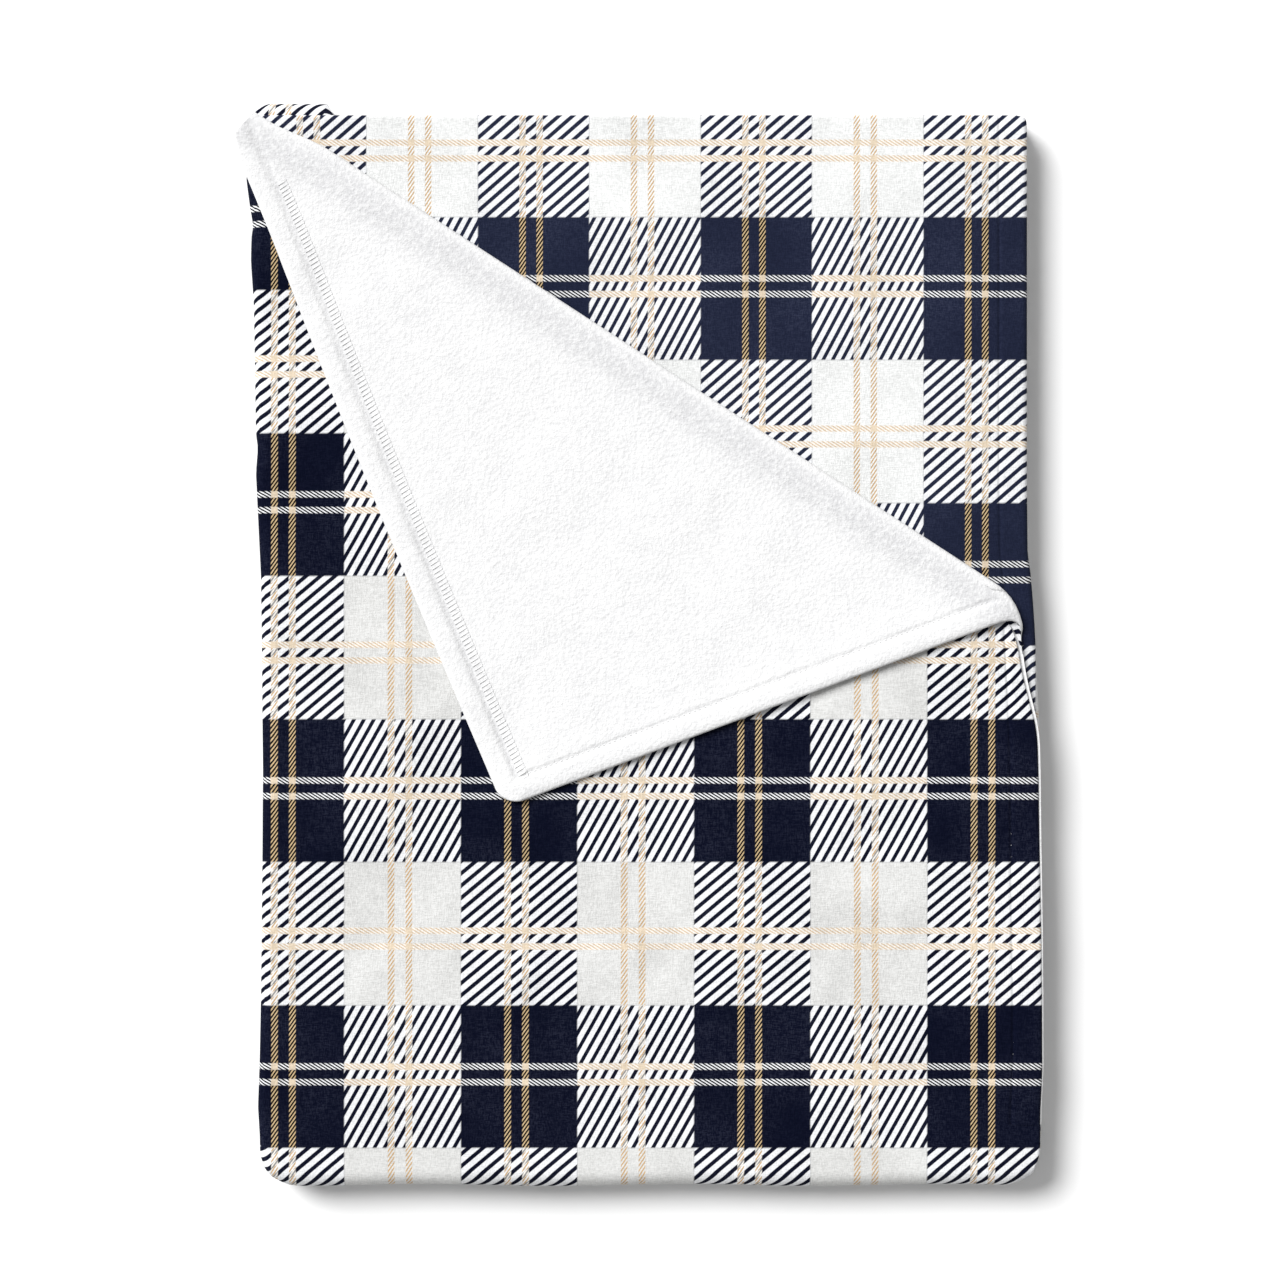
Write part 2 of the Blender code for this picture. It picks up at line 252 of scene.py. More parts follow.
# a closed mesh from a grid: one surface at the high offset along the normal, one at the low,
# joined at the rim
def makePly(name, middle, normal, low, high, coords, paintedLightAndShade, material):
    rows, columns = middle.shape[:2]
    outer = middle + normal * high[..., None]
    inner = middle + normal * low[..., None]
    points = np.concatenate([outer.reshape(-1, 3), inner.reshape(-1, 3)])
    index = np.arange(rows * columns).reshape(rows, columns)
    a, b, c, d = index[:-1, :-1], index[:-1, 1:], index[1:, 1:], index[1:, :-1]
    quads = np.stack([a, b, c, d], -1).reshape(-1, 4)
    cross = np.cross(middle[:-1, 1:] - middle[:-1, :-1], middle[1:, :-1] - middle[:-1, :-1])
    forward = np.sum(cross * normal[:-1, :-1]) > 0
    if not forward:
        quads = quads[:, ::-1]
    count = rows * columns
    rim = np.concatenate([index[0, :-1], index[:-1, -1], index[-1, :0:-1], index[:0:-1, 0]])
    following = np.roll(rim, -1)
    sides = np.stack([rim, rim + count, following + count, following], -1)
    if not forward:
        sides = sides[:, ::-1]
    faces = np.concatenate([quads, quads[:, ::-1] + count, sides])
    mesh = bpy.data.meshes.new(name)
    mesh.from_pydata(points.tolist(), [], faces.tolist())
    mesh.polygons.foreach_set("use_smooth", np.ones(len(faces), bool))
    layer = mesh.uv_layers.new(name="UVMap")
    corners = np.zeros(len(mesh.loops), np.int32)
    mesh.loops.foreach_get("vertex_index", corners)
    both = np.concatenate([coords.reshape(-1, 2)] * 2)
    layer.data.foreach_set("uv", both[corners].astype(np.float32).ravel())
    # a per-point amount of painted light on the tucked print, and of painted shade on the white ply
    attribute = mesh.attributes.new("paintedLightAndShade", "FLOAT", "POINT")
    attribute.data.foreach_set("value", np.tile(paintedLightAndShade.ravel(), 2).astype(np.float32))
    mesh.materials.append(material)
    mesh.update()
    mesh.set_sharp_from_angle(angle=np.radians(62))
    made = bpy.data.objects.new(name, mesh)
    bpy.context.scene.collection.objects.link(made)
    return made


# unit normals of a grid from its two gradients, turned to the side the hint points to
def gridNormals(middle, hint):
    normal = np.cross(np.gradient(middle, axis=0), np.gradient(middle, axis=1))
    size = np.linalg.norm(normal, axis=-1, keepdims=True)
    normal = normal / np.maximum(size, 1e-12)
    return normal * np.where(np.sum(normal * hint, -1, keepdims=True) < 0, -1, 1)


# quarter-round edges: the offset shrinks with sqrt(1 - (1 - distance)^2) towards a free hem
def hemRound(distance):
    part = 1 - np.clip(distance / cloth["edge"], 0, 1)
    return np.sqrt(np.maximum(1 - part * part, 0.03))


# both plies of a piece, the printed one on the outward side and the white one on the other; the white
# ply takes an amount of painted shade
def makePair(
    stem, middle, hint, hem, coords, paintedLightAndShade, extraFace=0.0, extraBack=0.0, rims=(0.0, 0.0), paintedShade=0.0
):
    normal = gridNormals(middle, hint)
    low = np.full(middle.shape[:2], cloth["inner"])
    rounding = hemRound(hem)
    depth = cloth["outer"] - cloth["inner"]
    faceHigh = low + depth * rounding + extraFace
    backHigh = low + depth * rounding + extraBack
    face = makePly(stem + "Face", middle + rims[0], normal, low, faceHigh, coords, paintedLightAndShade, printed)
    back = makePly(stem + "Back", middle + rims[1], -normal, low, backHigh, coords, paintedShade + 0 * low, white)
    return face, back


# a colour given as it looks, 0 to 255, turned into the linear value a socket takes
def tone(red, green, blue, gain=1.0):
    value = np.array([red, green, blue]) / 255
    linear = np.where(value <= 0.04045, value / 12.92, ((value + 0.055) / 1.055) ** 2.4)
    return (*(float(v) * gain for v in linear), 1.0)


class Tree:
    # thin helpers over a material's node tree
    def __init__(self, name):
        self.material = bpy.data.materials.new(name)
        self.material.use_nodes = True
        self.nodes = self.material.node_tree.nodes
        self.links = self.material.node_tree.links
        self.shader = self.nodes["Principled BSDF"]

    def put(self, socket, value):
        if isinstance(value, bpy.types.NodeSocket):
            self.links.new(value, socket)
        else:
            socket.default_value = value

    def calc(self, operation, *values):
        node = self.nodes.new("ShaderNodeMath")
        node.operation = operation
        for socket, value in zip(node.inputs, values):
            self.put(socket, value)
        return node.outputs[0]

    def blend(self, factor, first, second, mode="MIX"):
        node = self.nodes.new("ShaderNodeMix")
        node.data_type = "RGBA"
        node.blend_type = mode
        self.put(node.inputs[0], factor)
        self.put(node.inputs[6], first)
        self.put(node.inputs[7], second)
        return node.outputs[2]

    def noise(self, vector, scale, detail=2.0, rough=0.5):
        node = self.nodes.new("ShaderNodeTexNoise")
        self.put(node.inputs["Vector"], vector)
        node.inputs["Scale"].default_value = scale
        node.inputs["Detail"].default_value = detail
        node.inputs["Roughness"].default_value = rough
        return node.outputs[0]

    def stretched(self, vector, scale):
        node = self.nodes.new("ShaderNodeMapping")
        self.put(node.inputs["Vector"], vector)
        node.inputs["Scale"].default_value = scale
        return node.outputs[0]

    def place(self):
        return self.nodes.new("ShaderNodeTexCoord").outputs["Object"]

    # 1 where the value is above the threshold, with a soft step whose steepness is given
    def above(self, value, threshold, steep):
        shifted = self.calc("SUBTRACT", value, threshold)
        raised = self.calc("MULTIPLY_ADD", shifted, steep, 0.5)
        node = self.nodes.new("ShaderNodeClamp")
        self.put(node.inputs[0], raised)
        return node.outputs[0]

    def bump(self, height, distance, strength=1.0):
        node = self.nodes.new("ShaderNodeBump")
        self.put(node.inputs["Height"], height)
        node.inputs["Distance"].default_value = distance
        node.inputs["Strength"].default_value = strength
        self.links.new(node.outputs[0], self.shader.inputs["Normal"])


nap = {
    "fine": 1500.0,
    "streak": (260.0, 1700.0, 400.0),
    "crossStreak": (1700.0, 300.0, 400.0),
    "cloud": 22.0,
    "depth": 0.0007,
}


# short-pile height: fine noise plus two crossed sets of streaks
def napHeight(tree, place):
    fine = tree.noise(place, nap["fine"], 2.0)
    streaks = tree.noise(tree.stretched(place, nap["streak"]), 1.0, 2.0)
    crossed = tree.noise(tree.stretched(place, nap["crossStreak"]), 1.0, 2.0)
    total = tree.calc("ADD", streaks, crossed)
    total = tree.calc("MULTIPLY_ADD", fine, 0.8, total)
    return tree.calc("MULTIPLY", total, 0.36)


printInk = {
    "navy": tone(14, 19, 42, 0.50),
    # painted light: a lighter navy for the tucked layer's print
    "paintedLightNavy": tone(38, 44, 68, 0.56),
    "black": tone(5, 7, 14, 0.5),
    "white": tone(236, 236, 234, 0.68),
    "hatchWhite": tone(252, 253, 255, 0.70),
    # painted light: a lighter off-white for the tucked layer's print
    "paintedLightWhite": tone(249, 250, 249, 0.69),
    "gold": tone(236, 206, 158, 0.57),
    "tan": tone(216, 180, 132, 0.68),
    "cream": tone(252, 248, 241, 0.70),
    "tanCream": tone(240, 222, 196, 0.68),
    "vBand": (0.402, 0.555, 0.0288),
    "hBand": (0.429, 0.539, 0.0222),
    "rowShift": 0.051,
    "wobble": 0.0028,
}


# the check: columns and rows swap between dark and light by the sign of a sine; where they
# differ, slanted bars follow a plane wave; two thin twill lines run over each column and row
def makePrinted():
    tree = Tree("printedPlush")
    ink = printInk
    place = tree.place()
    uvNode = tree.nodes.new("ShaderNodeUVMap")
    uvNode.uv_map = "UVMap"
    split = tree.nodes.new("ShaderNodeSeparateXYZ")
    tree.links.new(uvNode.outputs[0], split.inputs[0])
    wobble = tree.nodes.new("ShaderNodeTexNoise")
    tree.put(wobble.inputs["Vector"], place)
    wobble.inputs["Scale"].default_value = 1300.0
    shake = tree.nodes.new("ShaderNodeSeparateXYZ")
    tree.links.new(wobble.outputs[1], shake.inputs[0])
    shiftU = tree.calc("MULTIPLY_ADD", shake.outputs[0], ink["wobble"], -ink["wobble"] / 2)
    shiftV = tree.calc("MULTIPLY_ADD", shake.outputs[1], ink["wobble"], -ink["wobble"] / 2)
    u = tree.calc("ADD", split.outputs[0], shiftU)
    v = tree.calc("ADD", split.outputs[1], shiftV)
    columnWave = tree.calc("SINE", tree.calc("MULTIPLY", u, np.pi))
    darkColumn = tree.above(tree.calc("MULTIPLY", columnWave, -1.0), 0.0, 26.0)
    darkRow = tree.above(tree.calc("SINE", tree.calc("MULTIPLY", v, np.pi)), 0.0, 26.0)

    # 1 on the bright share of a plane wave of u and v
    def wave(kU, kV, phase, level, steep):
        angle = tree.calc("MULTIPLY_ADD", u, 2 * np.pi * kU, 2 * np.pi * phase)
        angle = tree.calc("MULTIPLY_ADD", v, 2 * np.pi * kV, angle)
        return tree.above(tree.calc("COSINE", angle), level, steep)

    hatchA = wave(8, 11.715, -8 * 1.006 - 11.715 * 3.008 - 0.31, -0.218, 3.2)
    hatchB = wave(11.715, 8, -11.715 * 0.006 - 8 * 2.007 - 0.39, -0.218, 3.2)
    strokeV = wave(33.06, 28.19, 0.0, 0.15, 2.2)
    strokeH = wave(22.98, -45.67, 0.0, 0.1, 2.2)

    lightColumn = tree.calc("SUBTRACT", 1.0, darkColumn)
    lightRow = tree.calc("SUBTRACT", 1.0, darkRow)
    navyCell = tree.calc("MULTIPLY", darkColumn, darkRow)
    whiteCell = tree.calc("MULTIPLY", lightColumn, lightRow)
    cellA = tree.calc("MULTIPLY", darkColumn, lightRow)
    cellB = tree.calc("MULTIPLY", lightColumn, darkRow)

    columnPart = tree.calc("FRACT", u)
    shifted = tree.calc("MULTIPLY_ADD", lightRow, -ink["rowShift"], tree.calc("FRACT", v))

    # 1 within two thin lines, from the distance to the nearer centre
    def lines(part, first, second, half):
        one = tree.calc("ABSOLUTE", tree.calc("SUBTRACT", part, first))
        two = tree.calc("ABSOLUTE", tree.calc("SUBTRACT", part, second))
        near = tree.calc("MINIMUM", one, two)
        return tree.above(tree.calc("MULTIPLY", near, -1.0), -half, 130.0)

    vBand = lines(columnPart, *ink["vBand"])
    hBand = lines(shifted, *ink["hBand"])

    paintedLightNode = tree.nodes.new("ShaderNodeAttribute")
    paintedLightNode.attribute_name = "paintedLightAndShade"
    paintedLightAndShade = paintedLightNode.outputs["Fac"]
    # painted light: the tucked layer's navy and off-white are blended towards lighter copies
    navy = tree.blend(paintedLightAndShade, ink["navy"], ink["paintedLightNavy"])
    offWhite = tree.blend(paintedLightAndShade, ink["white"], ink["paintedLightWhite"])
    bars = tree.calc("ADD", tree.calc("MULTIPLY", cellA, hatchA), tree.calc("MULTIPLY", cellB, hatchB))
    colour = tree.blend(whiteCell, navy, offWhite)
    colour = tree.blend(bars, colour, ink["hatchWhite"])

    hatchCell = tree.calc("ADD", cellA, cellB)
    onNavy = tree.blend(strokeV, ink["black"], ink["gold"])
    onWhite = tree.blend(strokeV, offWhite, ink["tan"])
    betweenStrokes = tree.blend(0.35, colour, ink["cream"])
    onStrokes = tree.blend(bars, ink["cream"], ink["tan"])
    onHatch = tree.blend(strokeV, betweenStrokes, onStrokes)
    vertical = tree.blend(hatchCell, tree.blend(navyCell, onWhite, onNavy), onHatch)
    colour = tree.blend(vBand, colour, vertical)
    hNavy = tree.blend(strokeH, ink["black"], ink["hatchWhite"])
    hPale = tree.blend(tree.calc("MULTIPLY", strokeH, 0.7), ink["cream"], ink["tan"])
    horizontal = tree.blend(navyCell, hPale, hNavy)
    colour = tree.blend(hBand, colour, horizontal)
    colour = tree.blend(tree.calc("MULTIPLY", hBand, vBand), colour, ink["tanCream"])

    height = napHeight(tree, place)
    cloud = tree.noise(place, nap["cloud"], 3.0)
    # painted shade: low nap is darker and raised nap lighter; the cloud noise adds tone that varies at
    # random
    raised = tree.above(height, 0.5, 6.0)
    shade = tree.calc("MULTIPLY_ADD", raised, 0.24, 0.62)
    shade = tree.calc("MULTIPLY_ADD", cloud, 0.40, shade)
    grey = tree.nodes.new("ShaderNodeCombineXYZ")
    for socket in grey.inputs:
        tree.put(socket, shade)
    colour = tree.blend(1.0, colour, grey.outputs[0], "MULTIPLY")
    # painted sheen: raised nap is lightened towards a pale blue-grey, in cloud patches
    paintedSheenPatches = tree.calc("MULTIPLY_ADD", tree.above(cloud, 0.5, 4.0), 0.030, 0.006)
    lift = tree.calc("MULTIPLY", tree.above(height, 0.53, 8.0), paintedSheenPatches)
    colour = tree.blend(lift, colour, tone(150, 156, 180))
    shader = tree.shader
    tree.put(shader.inputs["Base Color"], colour)
    shader.inputs["Roughness"].default_value = 0.95
    shader.inputs["Specular IOR Level"].default_value = 0.02
    shader.inputs["Sheen Weight"].default_value = 0.02
    shader.inputs["Sheen Roughness"].default_value = 0.45
    tree.bump(height, nap["depth"], 0.8)
    return tree.material


whitePlush = {
    "colour": tone(255, 255, 255, 0.690),
    # a darker white for painted shade in the hollows between tufts
    "shade": tone(240, 240, 241, 0.655),
    # a darker white for painted shade on the corner's white side
    "paintedShade": tone(226, 226, 228, 0.640),
    "tuft": 420.0,
    "depth": 0.0012,
}


# brushed plush: tufts at two sizes, with painted shade in the hollows between them
def makeWhite():
    tree = Tree("whitePlush")
    place = tree.place()
    tufts = tree.noise(place, whitePlush["tuft"], 3.0, 0.6)
    broad = tree.noise(place, 60.0, 3.0)
    height = tree.calc("MULTIPLY_ADD", broad, 0.5, tufts)
    height = tree.calc("MULTIPLY_ADD", napHeight(tree, place), 0.4, height)
    hollow = tree.above(tree.calc("MULTIPLY", height, -1.0), -0.92, 1.6)
    colour = tree.blend(hollow, whitePlush["colour"], whitePlush["shade"])
    # painted shade from the point attribute, speckled by the tufts
    paintedShade = tree.nodes.new("ShaderNodeAttribute")
    paintedShade.attribute_name = "paintedLightAndShade"
    speckle = tree.calc("MULTIPLY_ADD", tree.above(tufts, 0.5, 5.0), -0.45, 0.75)
    colour = tree.blend(tree.calc("MULTIPLY", paintedShade.outputs["Fac"], speckle), colour, whitePlush["paintedShade"])
    tree.put(tree.shader.inputs["Base Color"], colour)
    tree.shader.inputs["Roughness"].default_value = 0.95
    tree.shader.inputs["Specular IOR Level"].default_value = 0.1
    tree.shader.inputs["Sheen Weight"].default_value = 0.15
    tree.shader.inputs["Sheen Roughness"].default_value = 0.5
    tree.bump(height, whitePlush["depth"], 0.6)
    return tree.material


thread = {"colour": tone(250, 250, 250, 0.70), "ply": 2600.0}


# twisted thread: fine noise for its plies and a slight sheen
def makeThread():
    tree = Tree("sewingThread")
    place = tree.place()
    twist = tree.noise(place, thread["ply"], 1.0)
    colour = tree.blend(tree.above(twist, 0.45, 6.0), tone(232, 232, 234, 0.66), thread["colour"])
    tree.put(tree.shader.inputs["Base Color"], colour)
    tree.shader.inputs["Roughness"].default_value = 0.6
    tree.shader.inputs["Sheen Weight"].default_value = 0.2
    tree.bump(twist, 0.0002)
    return tree.material


printed = makePrinted()
white = makeWhite()
sewing = makeThread()
print("materials made")


# the run along the cloth at a place in each third; it carries on round the end folds
runs = {"arc": 0.01335, "middleScale": 1.050}
foldRun = halfLength - cloth["third"] + runs["arc"]


# the upper third runs forwards
def upperRun(y):
    return y


# the middle third runs back from the front fold, a little stretched
def middleRun(y):
    return -foldRun - (y + foldRun) * runs["middleScale"]


# the lower third runs forwards again from the rear fold
def lowerRun(y):
    return middleRun(foldRun) - (foldRun - y)


# the printed row at a run along the cloth
def rowOf(run, part):
    start, pitch = plaid["top"][2:]
    tuckStart, tuckPitch = plaid["tuck"][2:]
    share = tuckShare(part)
    return (1 - share) * (start - run) / pitch + share * ((tuckStart - run) / tuckPitch - 2)


# how far a column of the section belongs to the tucked layer, by a cubic step round the right bend
def tuckShare(part):
    onBend = smoothStep(-1.0, -0.1, part["out"][1])
    share = np.where(part["kind"] == "rightBend", onBend, part["kind"] == "tuck")
    return share[None, :].astype(float)


# coordinates of the print for a grid, from its run and what settling moved it by
def printCoords(part, run, moved, follow):
    kind = part["kind"][None, :]
    pitch = np.where((kind == "tuck") | (kind == "rightBend"), plaid["tuck"][1], plaid["top"][1])
    u = part["column"][None, :] + follow * moved[..., 0] / pitch
    v = rowOf(run + follow * moved[..., 1], part)
    return np.stack([u, v], -1)


# painted light: the tucked layer's print is a lighter copy of the same colours
def tuckPaintedLight(part, rows):
    return np.repeat(tuckShare(part), rows, 0)


# a flat run of a third: the cross-section drawn along y, turned over where the sign is -1
def flatRun(stem, names, y, plane, sign, run, hemRows, follow, step=0.006, shape=None):
    part = section(names, step)
    rows = len(y) if np.ndim(y) == 1 else y.shape[0]
    x = np.repeat(part["x"][None, :], rows, 0)
    level = np.repeat(part["level"][None, :], rows, 0)
    yGrid = np.repeat(np.asarray(y)[:, None], x.shape[1], 1) if np.ndim(y) == 1 else y
    raw = np.stack([x, yGrid, plane + sign * level], -1)
    placed = settle(raw)
    outX, outLevel = part["out"]
    hint = np.stack([outX + 0 * x, 0 * x, sign * outLevel + 0 * x], -1)
    hem = np.minimum(np.repeat(part["hem"][None, :], rows, 0), hemRows)
    placed, extra, rims = shape(placed, part) if shape else (placed, 0.0, (0.0, 0.0))
    coords = printCoords(part, run(yGrid), placed - raw, follow)
    pair = makePair(stem, placed, hint, hem, coords, tuckPaintedLight(part, rows), extra, 0.0, rims)
    return pair, placed


# an end fold: each layer runs in, half round the fold at its own radius, and out again
def endFold(stem, plane, sideY, follow, out=None):
    part = section(["top", "leftBend", "base", "rightBend", "tuck"])
    c = cloth
    radius = part["level"] if sideY < 0 else c["third"] - part["level"]
    straight = np.linspace(c["foldReach"], c["third"] + 0.002, 8)
    angle = np.radians(np.linspace(87, -87, 30))
    count = len(straight)
    depth = np.concatenate([straight, np.full(30, c["third"]), straight[::-1]])
    around = np.concatenate([np.full(count, np.pi / 2), angle, np.full(count, -np.pi / 2)])
    x = np.repeat(part["x"][None, :], len(depth), 0)
    reach = depth[:, None] - radius[None, :] * np.cos(around)[:, None]
    y = sideY * (halfLength - reach)
    z = plane + radius[None, :] * np.sin(around)[:, None]
    raw = np.stack([x, y, z], -1)
    placed = settle(raw)
    if out:
        placed = placed + out(placed, reach)
    outX, outLevel = part["out"]
    turned = outLevel if sideY < 0 else -outLevel
    hint = np.stack(
        [
            outX[None, :] + 0 * x,
            sideY * turned[None, :] * np.cos(around)[:, None],
            turned[None, :] * np.sin(around)[:, None],
        ],
        -1,
    )
    straightLength = c["foldReach"] - c["third"]
    quarter = radius[None, :] * (np.pi / 2 - np.abs(around))[:, None]
    fullPath = straightLength + radius[None, :] * np.pi / 2
    share = (c["foldReach"] - depth[:, None] + quarter) / fullPath
    placeY = sideY * (halfLength - c["foldReach"] + share * (straightLength + runs["arc"]))
    above, below = (upperRun, middleRun) if sideY < 0 else (middleRun, lowerRun)
    run = np.where(around[:, None] > 0, above(placeY), below(placeY))
    hem = np.repeat(part["hem"][None, :], len(depth), 0)
    coords = printCoords(part, run, placed - raw, follow)
    if out:
        kind = part["kind"]
        onBase = np.where(kind == "leftBend", (1 - outLevel) / 2, kind == "base")
        coords[..., 0] += 0.5 * onBase[None, :] * smoothStep(-0.140, -0.206, placed[..., 0])
    pair = makePair(stem, placed, hint, hem, coords, tuckPaintedLight(part, len(depth)))
    return pair, placed


# the crease's y at an x: a straight line of the flap's level and slope
def creaseY(x):
    return flap["level"] + flap["slope"] * x


across = np.cos(np.arctan(-flap["slope"]))  # turns a step in y into a distance square to the crease


# where the line of folding starts to round off at each end, and how far it falls there
creaseEnds = {
    "depth": 0.075,
    "rightFrom": 0.2180,
    "rightSpan": 0.0275,
    "rightDrop": 0.0160,
    "rightPower": 2.4,
    "leftFrom": -0.205,
    "leftTo": -0.246,
    "leftDrop": 0.0066,
}


# the fall grows with a power of x on the right and by a cubic step on the left, and fades away
# from the line
def roundOff(points):
    e = creaseEnds
    x, y = points[..., 0], points[..., 1]
    far = (y - creaseY(x)) * across
    fade = smoothStep(-e["depth"], 0.0, far)
    right = e["rightDrop"] * np.clip((x - e["rightFrom"]) / e["rightSpan"], 0, 1.1) ** e["rightPower"]
    left = e["leftDrop"] * smoothStep(e["leftFrom"], e["leftTo"], x)
    moved = np.array(points)
    moved[..., 0] = x + right * fade * flap["slope"] * across
    moved[..., 1] = y - (right * across + left) * fade
    return moved


frontY = -halfLength + cloth["foldReach"]
rearY = halfLength - 0.0015


# rows of the top layer, from the front fold to the strip under the crease, by four rounds of shifting
def topRows():
    x = section(["top", "leftBend"], 0.003)["x"]
    end = np.full(x.shape, 0.1)
    for _ in range(4):
        end = creaseY(x + strayX(x, end)) - flap["strip"] / across
    part = np.linspace(0, 1, 130)[:, None]
    return frontY + (end - frontY)[None, :] * part


# how far the print stays back from the hem and the white ply shows, by y
rim = {
    "y": [-0.34, -0.20, -0.05, -0.032, -0.007, 0.006, 0.019],
    "width": [0.0002, 0.0006, 0.0011, 0.0016, 0.0022, 0.0026, 0.0020],
    "rise": [0.0, 0.0001, 0.0003, 0.0006, 0.0010, 0.0012, 0.0008],
}


# the print is drawn back from the hem and the white ply curls up past it
def rimShifts(y, hem):
    width = np.interp(y, rim["y"], rim["width"])
    rise = np.interp(y, rim["y"], rim["rise"])
    hem = hem + 0 * y
    near = 1 - smoothStep(0.0, 0.020, hem)
    face = np.zeros(np.shape(near) + (3,))
    back = np.zeros(np.shape(near) + (3,))
    face[..., 0] = -width * near
    back[..., 0] = 0.0004 * (1 - smoothStep(0.0, 0.005, hem))
    back[..., 2] = rise * (1 - smoothStep(0.0, 1.0, hem / (width + 0.0015)))
    return face, back


softness = {"broad": 0.0013, "small": 0.0005}
seamLine = {"depth": 0.0009, "width": 0.0011, "puckers": 1700, "band": 0.0004}


# the top layer's own softness raises it, but not at the strip under the corner or at the front fold
def topLift(x, y):
    fromStrip = smoothStep(0.0, 0.04, creaseY(x) - flap["strip"] / across - y)
    fromFront = smoothStep(0.0, 0.03, y - frontY)
    height = softness["broad"] * swell(x, y) + softness["small"] * swell(x * 3.1 + 2, y * 2.7)
    return fromStrip * fromFront * height


# a gaussian groove along a seam, puckered by a fast sine
def seamGroove(distance, y):
    ridges = 0.8 + 0.2 * np.sin(y * seamLine["puckers"])
    return seamLine["depth"] * np.exp(-((distance / seamLine["width"]) ** 2)) * ridges


# the top layer swells a little between its edges, and is drawn in along the hem's stitches
def topShape(placed, part):
    placed = roundOff(placed)
    x, y = placed[..., 0], placed[..., 1]
    kind = part["kind"][None, :]
    hem = part["hem"][None, :]
    placed = placed + (topLift(x, y) * (kind == "top"))[..., None] * up
    seam = hem - cloth["hemSetback"]
    band = seamLine["band"] * smoothStep(0.0, 0.004, hem) * smoothStep(0.0, 0.004, -seam)
    return placed, (band - seamGroove(seam, y)) * (kind == "top"), rimShifts(y, hem)


topRun = topRows()
topPair, topGrid = flatRun(
    "upperTop", ["top", "leftBend"], topRun, upperPlane, 1, upperRun, 1.0, 1, 0.003, topShape
)


# the layer under it, in view beyond the corner's fold
def underShape(placed, part):
    inside = part["x"][None, :] - cloth["tuckSeam"]
    groove = seamGroove(inside, placed[..., 1]) * (part["kind"][None, :] == "tuck")
    return placed, -groove, (0.0, 0.0)


hemSteps = np.array([0, 0.00012, 0.0004, 0.0008, 0.0015, 0.0025])
underRows = np.concatenate([np.linspace(frontY, rearY - 0.004, 125), rearY - hemSteps[::-1]])
underHem = (rearY - underRows)[:, None]
underNames = ["base", "rightBend", "tuck"]
underPair, underGrid = flatRun(
    "upperUnder", underNames, underRows, upperPlane, 1, upperRun, underHem, 1, 0.004, underShape
)
print("upper third made")


frontPair, frontGrid = endFold("frontFold", upperPlane, -1, 1)


sliver = {"to": -0.2050, "from": -0.2085, "out": 0.0090, "lessAtEnd": 0.0040}


# the rear fold's left end sticks out past the stack
def rearOut(placed, reach):
    x = placed[..., 0]
    push = np.zeros(placed.shape)
    part = 1 - smoothStep(sliver["from"], sliver["to"], x)
    tip = sliver["out"] - sliver["lessAtEnd"] * smoothStep(-0.246, -0.258, x)
    push[..., 1] = tip * part * np.clip(1 - reach / cloth["foldReach"], 0, 1) ** 1.5
    return push


rearPair, rearGrid = endFold("rearFold", lowerPlane, 1, 0, rearOut)
whole = ["top", "leftBend", "base", "rightBend", "tuck"]
middleRows = np.linspace(frontY, -frontY, 90)
middlePair, middleGrid = flatRun("middle", whole, middleRows, upperPlane, -1, middleRun, 1.0, 0)
lowerFront = -halfLength + 0.0012
lowerRows = np.concatenate([lowerFront + hemSteps, np.linspace(lowerFront + 0.004, -frontY, 100)])
lowerHem = (lowerRows - lowerFront)[:, None]
lowerBase = lowerPlane - cloth["third"]
lowerPair, lowerGrid = flatRun("lower", whole, lowerRows, lowerBase, 1, lowerRun, lowerHem, 0)
print("lower thirds made")


